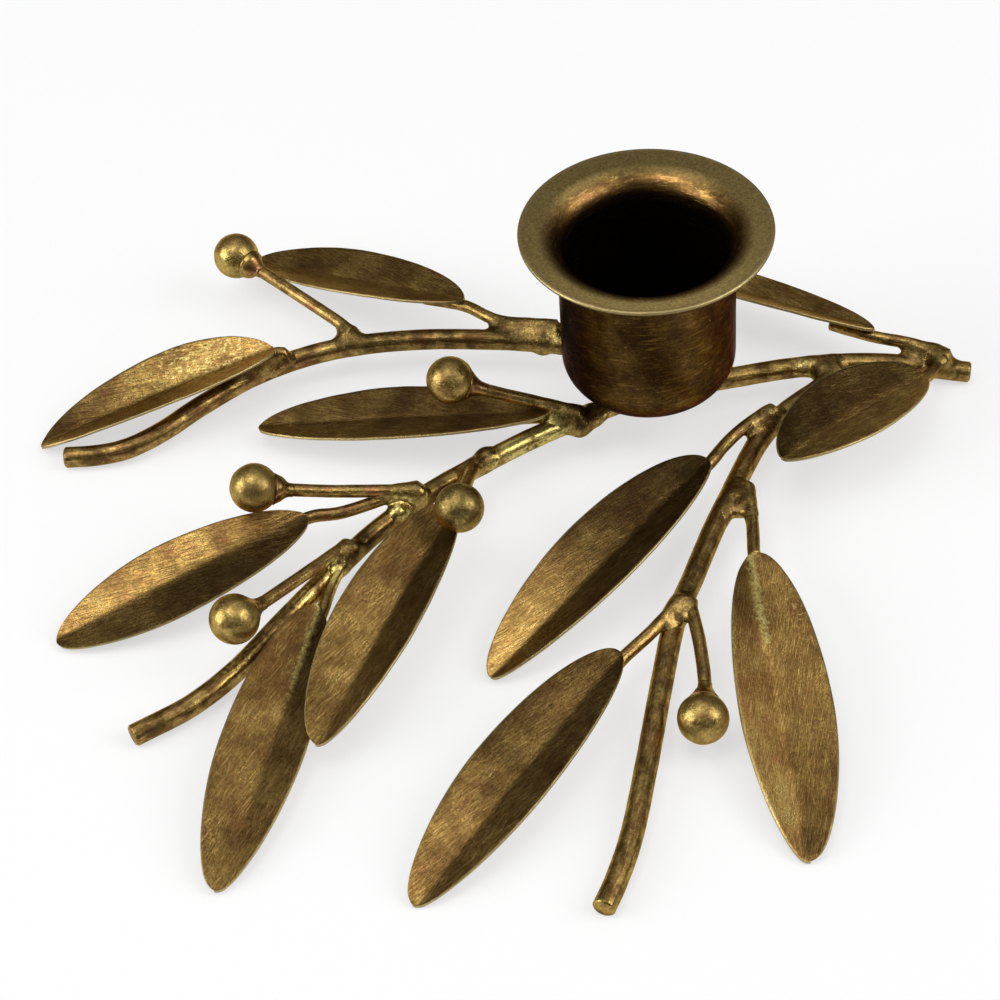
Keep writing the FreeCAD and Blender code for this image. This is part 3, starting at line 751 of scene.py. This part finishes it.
def leaf_sheet(leaf, top, place):
    """The sheet under its top: a face a thickness below, and a rounded edge between the two."""
    count = len(top)
    grid = top.reshape(leaf_rows, leaf_columns, 3)
    normal = unit(np.cross(np.gradient(grid, axis=0), np.gradient(grid, axis=1))).reshape(-1, 3)
    normal = normal * np.sign(normal @ leaf_axes(leaf)[2])[:, None]
    sunk = edge_round * rise(np.abs(place), start=edge_start, run=1 - edge_start) ** 2
    low = top - normal * (sheet_thickness - sunk)[:, None]
    points = np.vstack([top - normal * sunk[:, None], low])
    low_faces = grid_faces(leaf_rows, leaf_columns, False)
    faces = [face[::-1] for face in low_faces]
    faces += [tuple(i + count for i in face) for face in low_faces]
    border = leaf_border()
    for a, b in zip(border, border[1:] + border[:1]):
        faces.append((b, a, a + count, b + count))
    return points, faces


def leaf_rim(place):
    """How much of each point is cut edge: the outermost columns, and the first and last row."""
    cut = 0.8
    ends = np.zeros(leaf_rows)
    ends[[0, -1]] = cut
    sides = rise(np.abs(place), start=0.975, run=0.025) * cut
    return np.maximum(sides, np.repeat(ends, leaf_columns))


def leaf_marks(leaf, x, y, from_fold, place):
    """The marks on the top: the tone of each half, patina with painted light and shade, bare brass
    on the rib, the rim and the spots.
    """
    stations = (0.1, 0.5, 0.9)
    softness = 0.05
    narrower = 1.3
    # Each half's lightness: partly patina, partly painted light and shade
    far = np.interp(x / leaf["length"], stations, leaf["far"])
    near = np.interp(x / leaf["length"], stations, leaf["near"])
    blend = 1 / (1 + np.exp(-place / softness))
    none = np.zeros(len(x))
    marks = {"tone": far + (near - far) * blend, "fresh": none, "stain": none,
             "rim": leaf_rim(place)}
    if "rib" in leaf:
        marks["fresh"] = (leaf["rib_fresh"] * bell(from_fold, rib_half_width)
                          * rise(leaf["rib_length"] - x, start=0, run=8))
    for share, share_across, radius, mark, strength in leaf.get("spots", []):
        off_x = x - share * leaf["length"]
        off_y = y - share_across * leaf["width"] / 2
        spot = strength * bell(np.hypot(off_x, off_y * narrower), radius)
        # Tone spots: partly patina, partly painted highlights and painted shade
        if mark == "tone":
            marks["tone"] = marks["tone"] * (1 + spot)
        else:
            marks[mark] = np.maximum(marks[mark], spot)
    return marks


def make_leaf(name, leaf, seed):
    x, y, from_fold, place = leaf_grid(leaf)
    top = leaf_point(leaf, x, y, leaf_lift(leaf, x, y, from_fold, seed) + bow(leaf, x))
    points, faces = leaf_sheet(leaf, top, place)
    above = leaf_marks(leaf, x, y, from_fold, place)
    below = dict(above, tone=np.full(len(x), 0.8), fresh=np.zeros(len(x)))
    marks = {mark: np.concatenate([above[mark], below[mark]]) for mark in above}
    uv = np.column_stack([x + 100 * seed, y])
    add_piece(name + "_sheet", points, faces, brass["leaf"], [name],
              uv=np.vstack([uv, uv]), marks=marks)


def leaf_wire_route(name):
    """The wire lies under the fold, then runs on to the stem."""
    leaf = leaves[name]
    drop = sheet_thickness + wire["radius"] - wire_seat
    side = leaf.get("wire_side", leaf["vein"])
    route = []
    for x in (wire_reach, 0.0):
        route.append(tuple(leaf_point(leaf, x, side, bow(leaf, x) - drop)[0]))
    return route + leaf_wire_routes[name]


def make_wire(name, route, seed, rounded_start):
    points, faces, uv = tube(route, wire, seed, rounded_start)
    add_piece(name + "_stalk", points, faces, brass["wire"], [name + "_wire"], uv)


def make_wires():
    for index, name in enumerate(leaves):
        make_wire(name, leaf_wire_route(name), index + 20, True)
    for index, (name, route) in enumerate(berry_routes.items()):
        make_wire(name, route, index + 40, False)


# The berries

def turned(profile, origin, axis, steps):
    """A turned form: (distance along, radius) pairs swept about an axis."""
    axis = unit(np.array(axis, float))
    side = unit(np.cross(axis, (0.3, 0.2, 0.9)))
    ring = circle(side, np.cross(axis, side), steps)
    points = [np.array(origin) + axis * along + ring * radius for along, radius in profile]
    return np.vstack(points), tube_faces(len(profile), steps)


def make_ball(name, centre, away, seed):
    angles = np.linspace(pole_angle, pi - pole_angle, berry_rings)
    profile = [(-berry_radius * cos(a), berry_radius * sin(a)) for a in angles]
    points, faces = turned(profile, centre, away, berry_steps)
    outward = unit(points - centre)
    points = points - outward * dents(points, berry_dent, fine_wavelength, seed + 60)[:, None]
    marks = {}
    if name in speckled_berries:
        marks = {"tone": np.full(len(points), 0.7), "fresh": np.full(len(points), 0.3)}
    add_piece(name + "_ball", points, faces, brass["berry"], [name], marks=marks)


def collar(name, centre, away, seed):
    """The solder where a wire enters its ball: an uneven flare, on some with a bead."""
    skin = 0.04
    ripple = 0.05
    bead_middle = 0.34
    bead_width = 0.30
    profile = []
    for share in np.linspace(0, 1, collar_rings):
        bead = collar_beads.get(name, 0.0) * bell(share - bead_middle, bead_width)
        radius = wire["radius"] + skin + collar_flare * (1 - share) ** 2.2 + bead
        profile.append((collar_start + share * collar_length, radius))
    points, faces = turned(profile, centre, away, collar_steps)
    points = points + ripple * unit(points - centre) * waves(points, 1.6, seed)[:, None]
    return points, faces


def make_berries():
    collars = []
    for seed, (name, route) in enumerate(berry_routes.items()):
        centre = np.array(route[0])
        away = unit(np.array(route[1]) - centre)
        make_ball(name, centre, away, seed)
        collars.append(collar(name, centre, away, seed))
    points, faces = joined(collars)
    add_piece("berry_collar_solder", points, faces, brass["wire"], ["berry_collars"])


# The cup

def straight(start, end, count):
    """Evenly spaced (height, radius) pairs from start to end."""
    return [tuple(np.array(start) + (np.array(end) - start) * share)
            for share in np.linspace(0, 1, count)]


def arc(centre, radius, start, end, count):
    """(height, radius) pairs along a part of a circle; angle 0 points away from the axis."""
    return [(centre[0] + radius * sin(a), centre[1] + radius * cos(a))
            for a in np.linspace(start, end, count)]


def chain(*runs):
    """Runs of a profile put together, where each starts at the last one's end."""
    profile = runs[0]
    for run in runs[1:]:
        profile = profile + run[1:]
    return profile


def below_rim(depth):
    """The (height, radius) that lies a depth under the flare's outermost top edge."""
    return cup_height - depth * cos(rim_slope), rim_radius + depth * sin(rim_slope)


def cup_profile():
    """The inside from the floor up and over the flare, the lip, then the outside to the foot."""
    quarter = pi / 2
    outer = bore_radius + cup_wall
    floor_radius = outer - cup_corner
    corner = (cup_corner, floor_radius)
    bend_x = bore_radius + rim_bend_radius
    rim_run = rim_radius - (bend_x - rim_bend_radius * sin(rim_slope))
    bend_z = cup_height - rim_run * tan(rim_slope) - rim_bend_radius * cos(rim_slope)
    bend = (bend_z, bend_x)
    outer_bend = rim_bend_radius - cup_wall
    half_wall = cup_wall / 2

    inner_bend = arc(bend, rim_bend_radius, pi, quarter + rim_slope, 12)
    inside = chain(
        straight((cup_wall, centre_radius), (cup_wall, floor_radius), 5),
        arc(corner, cup_corner - cup_wall, -quarter, 0, 8),
        straight((cup_corner, bore_radius), (bend_z, bore_radius), 14),
        inner_bend,
        straight(inner_bend[-1], (cup_height, rim_radius), 8))
    lip = arc(below_rim(half_wall), half_wall - lip_trim,
              quarter + rim_slope, -quarter + rim_slope, 8)
    under_bend = arc(bend, outer_bend, quarter + rim_slope, pi, 8)
    outside = chain(
        straight(below_rim(cup_wall), under_bend[0], 7),
        under_bend,
        straight((bend_z, outer), (cup_corner, outer), 16),
        arc(corner, cup_corner, 0, -quarter, 12),
        straight((0.0, floor_radius), (0.0, centre_radius), 4))
    return inside + lip[1:-1] + outside


def cup_marks(points, inside):
    """Painted shade in the bore, painted light up the flare with two painted glints at its back,
    painted light and shade on the wall and rim, a dull paler rim and a bright lip.
    """
    z = points[:, 2] - cup_foot
    r = np.hypot(points[:, 0], points[:, 1])
    around = points / np.maximum(r, 1e-6)[:, None]
    front = np.clip(-around[:, 1], 0, 1)
    back = np.clip(around[:, 1], 0, 1)
    turn = np.degrees(np.arctan2(points[:, 1], points[:, 0]))
    # Painted highlights: two glints at the back of the flare
    painted_glints = bell(turn - 130, 22) + 0.7 * bell(turn - 58, 20)
    flare = rise(z, start=22.6, run=1.4)
    on_rim = rise(r, start=12.7, run=1.9) * (z > 23.5)
    # Painted light and shade on the outer wall: darker on the left, lighter on the right
    painted_wall_light_and_shade = 0.95 + 0.55 * np.clip(around[:, 0], -0.9, 0.5)
    # Painted shade darkens the bore; painted light lightens the flare up its bend, more towards the
    # back
    painted_bore_shade_and_light = 0.3 + flare * (0.3 + 0.9 * back + 3.2 * painted_glints)
    # The rim's film is paler, with painted light: lighter at the front, darker at the back
    rim_film_and_painted_light = 1.25 - 0.5 * around[:, 1] + 0.6 * front ** 2
    tone = np.where(inside, painted_bore_shade_and_light + (rim_film_and_painted_light - painted_bore_shade_and_light) * on_rim ** 2, painted_wall_light_and_shade)
    lip = bell(z - cup_height + 0.15, 0.18) * (r > rim_radius - 0.05)
    return {"tone": tone, "rim": lip, "matte": on_rim * (1 - lip)}


def make_cup():
    profile = cup_profile()
    points, faces = turned(profile, (0, 0, cup_foot), (0, 0, 1), cup_steps)
    faces = [face[::-1] for face in faces]
    outermost = int(np.argmax([radius for _, radius in profile]))
    inside = np.repeat(np.arange(len(profile)) <= outermost, cup_steps)
    add_piece("cup_spun", points, faces, brass["cup"], ["candle_cup"],
              marks=cup_marks(points, inside))


# Brazed joints, as the smooth surface round the metal and its drops of solder

# A cube's corners, and six tetrahedra that fill it
cube_corners = np.array([[i, j, k] for i in (0, 1) for j in (0, 1) for k in (0, 1)])
cube_tetrahedra = np.array([[0, 1, 3, 7], [0, 3, 2, 7], [0, 2, 6, 7],
                            [0, 6, 4, 7], [0, 4, 5, 7], [0, 5, 1, 7]])

# By how many corners of a tetrahedron lie inside: the edges that each triangle's points cut
cuts = {
    1: [((0, 1), (0, 2), (0, 3))],
    3: [((0, 3), (1, 3), (2, 3))],
    2: [((0, 2), (0, 3), (1, 2)), ((1, 2), (0, 3), (1, 3))],
}


def cut_triangles(values, corners):
    """Triangles through tetrahedra, each point given by the inner and outer end of its edge."""
    inside = values[corners] < 0
    inner_first = np.argsort(~inside, axis=1, kind="stable")
    corners = np.take_along_axis(corners, inner_first, axis=1)
    pairs = []
    for count, triangles in cuts.items():
        chosen = corners[inside.sum(1) == count]
        for triangle in triangles:
            pairs.append(np.stack([chosen[:, edge] for edge in triangle], axis=1))
    return np.vstack(pairs)


def surface(field, low, high, step):
    """Points and triangles where a field of distances crosses zero, by marching tetrahedra."""
    axes = [np.arange(a, b + step, step) for a, b in zip(low, high)]
    rows, columns, layers = (len(a) for a in axes)
    nodes = np.stack(np.meshgrid(*axes, indexing="ij"), axis=-1).reshape(-1, 3)
    values = field(nodes)
    strides = np.array([columns * layers, layers, 1])
    cells = np.stack(np.meshgrid(*[np.arange(len(a) - 1) for a in axes], indexing="ij"), axis=-1)
    corners = (cells.reshape(-1, 3) @ strides)[:, None] + cube_corners @ strides
    signs = values[corners] < 0
    corners = corners[signs.any(1) & ~signs.all(1)]
    pairs = cut_triangles(values, corners[:, cube_tetrahedra].reshape(-1, 4))
    inner, outer = pairs[..., 0], pairs[..., 1]
    keys = np.minimum(inner, outer) * len(nodes) + np.maximum(inner, outer)
    _, first, index = np.unique(keys.ravel(), return_index=True, return_inverse=True)
    p = inner.ravel()[first]
    q = outer.ravel()[first]
    share = np.clip(values[p] / (values[p] - values[q]), least_share, 1 - least_share)
    points = nodes[p] + (nodes[q] - nodes[p]) * share[:, None]
    faces = index.reshape(-1, 3)
    towards = nodes[outer[:, 0]] - nodes[inner[:, 0]]
    normal = np.cross(points[faces[:, 1]] - points[faces[:, 0]],
                      points[faces[:, 2]] - points[faces[:, 0]])
    flip = np.einsum("ij,ij->i", normal, towards) < 0
    faces[flip] = faces[flip][:, ::-1]
    return points, faces.tolist()


def distance_to_route(points, curve):
    """Distance from each point to a curve given as close points."""
    best = np.full(len(points), np.inf)
    for a, b in zip(curve, curve[1:]):
        step = b - a
        share = np.clip((points - a) @ step / (step @ step), 0, 1)
        gap = norm(points - a - share[:, None] * step, axis=1)
        best = np.minimum(best, gap)
    return best


def past_ends(points, curve):
    """How far each point lies beyond the flat ends of a curve, negative between them."""
    start = unit(curve[0] - curve[1])
    end = unit(curve[-1] - curve[-2])
    return np.maximum((points - curve[0]) @ start, (points - curve[-1]) @ end)


def smooth_least(a, b, reach):
    """The smaller of two distances, blended into a fillet where they are close."""
    h = np.clip(0.5 + 0.5 * (b - a) / reach, 0, 1)
    return b + (a - b) * h - reach * h * (1 - h)


def stretches_near(bars, centre, reach):
    """The parts of the bars close to a joint."""
    near = []
    for curve, radius in bars:
        close = norm(curve - centre, axis=1) < reach
        if close.sum() > 1:
            near.append((curve[close], radius))
    return near


def joint_mesh(joint, bars, seed):
    """The solder of one joint: a skin on its bars, drawn into fillets, with its drops."""
    centre = np.array(joint["drops"])[:, :3].mean(0)
    reach = joint["creep"] + skin_margin
    look_around = 2
    near = stretches_near(bars, centre, reach + look_around)
    far_off = 1e3

    def field(p):
        away = norm(p - centre, axis=1)
        skin = skin_thickness - skin_thinning * (away / joint["creep"]) ** 2
        total = np.full(len(p), far_off)
        for curve, radius in near:
            bar = distance_to_route(p, curve) - radius - skin
            end_cover = wire_end_cover if radius == wire["radius"] else -stem_end_bare
            bar = np.maximum(bar, past_ends(p, curve) - end_cover)
            total = smooth_least(total, bar, joint["web"])
        for x, y, z, radius in joint["drops"]:
            drop = norm(p - (x, y, z), axis=1) - radius
            total = smooth_least(total, drop, drop_blend)
        total = total + solder_ripple * waves(p, fine_wavelength, seed + 80)
        total = np.maximum(total, away - reach)
        return np.maximum(total, solder_foot - p[:, 2])

    return surface(field, centre - reach, centre + reach, joint_step)


def make_joints():
    wires = [leaf_wire_route(name) for name in leaves] + list(berry_routes.values())
    bars = [(spline(route, rod_route_step), rod["radius"]) for route in stems.values()]
    bars += [(spline(route, wire_route_step), wire["radius"]) for route in wires]
    for node, places in joints.items():
        points, faces = joined([joint_mesh(joint, bars, seed)
                                for seed, joint in enumerate(places)])
        add_piece(node + "_flow", points, faces, brass["solder"], [node])


def make_cup_joint():
    """The pool of solder between the cup's floor and the rods."""
    rods = [spline(stems[name], rod_route_step) for name in ("main_stem", "left_stem")]
    centre = np.array([0.0, -0.6, 6.0])
    reach = 6.4
    pool_radius = 5.0
    pool_middle = 6.2
    pool_half_depth = 0.85
    pool_top = 7.25
    web = 1.4
    ripple = 0.08
    under_skin = 0.05

    def field(p):
        flat = np.hypot(p[:, 0] - centre[0], p[:, 1] - centre[1])
        total = np.maximum(flat - pool_radius, np.abs(p[:, 2] - pool_middle) - pool_half_depth)
        for curve in rods:
            bar = distance_to_route(p, curve) - rod["radius"] + under_skin
            total = smooth_least(total, bar, web)
        total = total + ripple * waves(p, fine_wavelength, 91)
        return np.maximum(np.maximum(total, flat - reach), p[:, 2] - pool_top)

    low = centre - (reach, reach, 3)
    high = centre + (reach, reach, 2)
    points, faces = surface(field, low, high, pool_step)
    add_piece("cup_solder_flow", points, faces, brass["solder"], ["cup_solder"])


# The studio

def floor_material():
    """Pale paper that looks whiter to the camera and in reflections than it is."""
    material = bpy.data.materials.new("floor_white")
    tree = Tree(material)
    shader = tree.nodes["Principled BSDF"]
    tree.put((0.88, 0.88, 0.88), shader.inputs["Base Color"])
    tree.put(0.9, shader.inputs["Roughness"])
    tree.put(0.1, shader.inputs["Specular IOR Level"])
    path = tree.nodes.new("ShaderNodeLightPath").outputs
    seen = tree.calc("MAXIMUM", path["Is Camera Ray"], path["Is Transmission Ray"])
    seen = tree.calc("MAXIMUM", seen, path["Is Glossy Ray"])
    glow = tree.add("Emission", {}, "Emission")
    share = tree.calc("MULTIPLY", seen, 0.6)
    blend = tree.add("MixShader", {0: share, 1: shader.outputs["BSDF"], 2: glow}, "Shader")
    tree.put(blend, tree.nodes["Material Output"].inputs["Surface"])
    return material


def make_floor():
    size = 3.0
    corners = [(-size, -size, 0), (size, -size, 0), (size, size, 0), (-size, size, 0)]
    mesh = bpy.data.meshes.new("floor")
    mesh.from_pydata(corners, [], [(0, 1, 2, 3)])
    mesh.materials.append(floor_material())
    add_object("floor", mesh)


def make_world():
    """A dim room with a bright ceiling: the strength rises steeply towards straight up."""
    world = bpy.data.worlds.new("studio")
    bpy.context.scene.world = world
    tree = Tree(world)
    direction = tree.add("TexCoord", {}, "Generated")
    height = tree.add("SeparateXYZ", {"Vector": direction}, "Z")
    steep = tree.calc("POWER", tree.calc("MAXIMUM", height, 0.0), 4.0)
    background = tree.nodes["Background"]
    tree.put(tree.ramp(steep, 0, 1, least=0.12, most=1.15), background.inputs["Strength"])
    tree.put((1.0, 1.0, 1.0), background.inputs["Color"])


def add_softbox(name, direction, size, radiance):
    """A soft light one metre away, which faces the cup."""
    lamp = bpy.data.lights.new(name, "AREA")
    lamp.shape = "RECTANGLE"
    lamp.size, lamp.size_y = size
    lamp.energy = radiance * pi * size[0] * size[1]
    direction = Vector(direction).normalized()
    holder = add_object(name, lamp)
    holder.location = direction
    holder.rotation_euler = direction.to_track_quat("Z", "Y").to_euler()


def make_camera():
    """The photograph's view: just under 45 degrees down, rolled a little."""
    elevation = radians(44.724)
    roll = radians(-4.203)
    position = np.array([-22.338, -312.561, 293.57]) * MM + cup_axis
    camera = add_object("camera", bpy.data.cameras.new("camera"))
    camera.data.sensor_width = 36
    camera.data.lens = 108
    camera.matrix_world = (Matrix.Translation(position)
                           @ Matrix.Rotation(pi / 2 - elevation, 4, "X")
                           @ Matrix.Rotation(roll, 4, "Z"))
    bpy.context.scene.camera = camera


make_camera()
make_floor()
make_world()
add_softbox("softbox_left", (-0.90, -0.15, 0.42), (0.70, 0.70), 4.0)
add_softbox("softbox_right", (0.76, -0.20, 0.62), (0.60, 0.70), 3.6)
add_softbox("softbox_top", (-0.22, -0.14, 0.97), (0.45, 0.45), 2.6)
make_cup()
make_stems()
for index, (leaf_name, leaf_sizes) in enumerate(leaves.items()):
    make_leaf(leaf_name, leaf_sizes, index)
make_wires()
make_berries()
make_joints()
make_cup_joint()

bpy.context.scene.view_settings.view_transform = "Standard"
